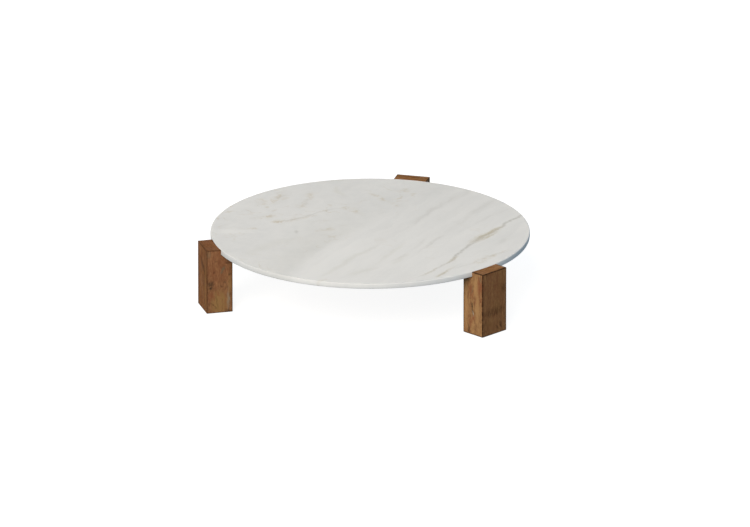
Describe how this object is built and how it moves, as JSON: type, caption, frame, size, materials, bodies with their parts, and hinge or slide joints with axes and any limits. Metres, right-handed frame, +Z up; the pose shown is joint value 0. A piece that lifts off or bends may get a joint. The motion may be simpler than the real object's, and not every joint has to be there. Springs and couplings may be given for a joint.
{
  "type": "round cocktail table",
  "caption": "Low round cocktail table: a pale veined stone disc let flush into notched timber block legs, tied by a hidden bolted steel frame, on levelling feet.",
  "frame": {"origin": "on the floor, under the middle of the table's bounding box; the stone's axis stands 33.5 mm from it along -Y", "axes": "+Z up; +Y towards the back leg, along which the table is longest; +X to the right seen from the front"},
  "size_m": [1.5238, 1.5909, 0.318],
  "materials": {
    "stone": "honed, pale with soft grey and beige veins",
    "timber": "oiled rustic timber with knots and filled cracks",
    "frame_steel": "matte black powder coat",
    "zinc_steel": "bright zinc plate",
    "insert_brass": "plain turned brass",
    "cushion": "grey silicone",
    "black_plastic": "matte black moulded plastic",
    "nylon": "dark brown moulded nylon"
  },
  "bodies": {
    "table": {"stone_top": "stone", "hub_plate": "frame_steel", "hub_bolts": "zinc_steel", "hub_washers": "zinc_steel", "hub_nuts": "zinc_steel", "leg_back": "timber", "arm_back": "frame_steel", "end_plate_back": "frame_steel", "arm_plug_back": "black_plastic", "leg_bolts_back": "zinc_steel", "leg_washers_back": "zinc_steel", "leg_inserts_back": "insert_brass", "ledge_pads_back": "cushion", "arm_pads_back": "cushion", "foot_socket_back": "insert_brass", "leg_left": "timber", "arm_left": "frame_steel", "end_plate_left": "frame_steel", "arm_plug_left": "black_plastic", "leg_bolts_left": "zinc_steel", "leg_washers_left": "zinc_steel", "leg_inserts_left": "insert_brass", "ledge_pads_left": "cushion", "arm_pads_left": "cushion", "foot_socket_left": "insert_brass", "leg_right": "timber", "arm_right": "frame_steel", "end_plate_right": "frame_steel", "arm_plug_right": "black_plastic", "leg_bolts_right": "zinc_steel", "leg_washers_right": "zinc_steel", "leg_inserts_right": "insert_brass", "ledge_pads_right": "cushion", "arm_pads_right": "cushion", "foot_socket_right": "insert_brass"},
    "foot_back": {"foot_pad_back": "nylon", "foot_ring_back": "zinc_steel"},
    "stud_back": {"foot_stud_back": "zinc_steel"},
    "foot_left": {"foot_pad_left": "nylon", "foot_ring_left": "zinc_steel"},
    "stud_left": {"foot_stud_left": "zinc_steel"},
    "foot_right": {"foot_pad_right": "nylon", "foot_ring_right": "zinc_steel"},
    "stud_right": {"foot_stud_right": "zinc_steel"}
  },
  "joints": [
    {"name": "foot_back_travel", "type": "slide", "parent": "table", "child": "foot_back", "axis": [0, 0, -1], "range_m": [0, 0.012]},
    {"name": "stud_back_turn", "type": "hinge", "parent": "foot_back", "child": "stud_back", "pos_m": [0, 0.7315, 0], "axis": [0, 0, -1], "range_deg": [0, 2880]},
    {"name": "foot_left_travel", "type": "slide", "parent": "table", "child": "foot_left", "axis": [0, 0, -1], "range_m": [0, 0.012]},
    {"name": "stud_left_turn", "type": "hinge", "parent": "foot_left", "child": "stud_left", "pos_m": [-0.66251, -0.416, 0], "axis": [0, 0, -1], "range_deg": [0, 2880]},
    {"name": "foot_right_travel", "type": "slide", "parent": "table", "child": "foot_right", "axis": [0, 0, -1], "range_m": [0, 0.012]},
    {"name": "stud_right_turn", "type": "hinge", "parent": "foot_right", "child": "stud_right", "pos_m": [0.66251, -0.416, 0], "axis": [0, 0, -1], "range_deg": [0, 2880]}
  ],
  "couplings": [
    {"joint": "stud_back_turn", "follows": "foot_back_travel", "rad_per_m": 4188.8},
    {"joint": "stud_left_turn", "follows": "foot_left_travel", "rad_per_m": 4188.8},
    {"joint": "stud_right_turn", "follows": "foot_right_travel", "rad_per_m": 4188.8}
  ]
}
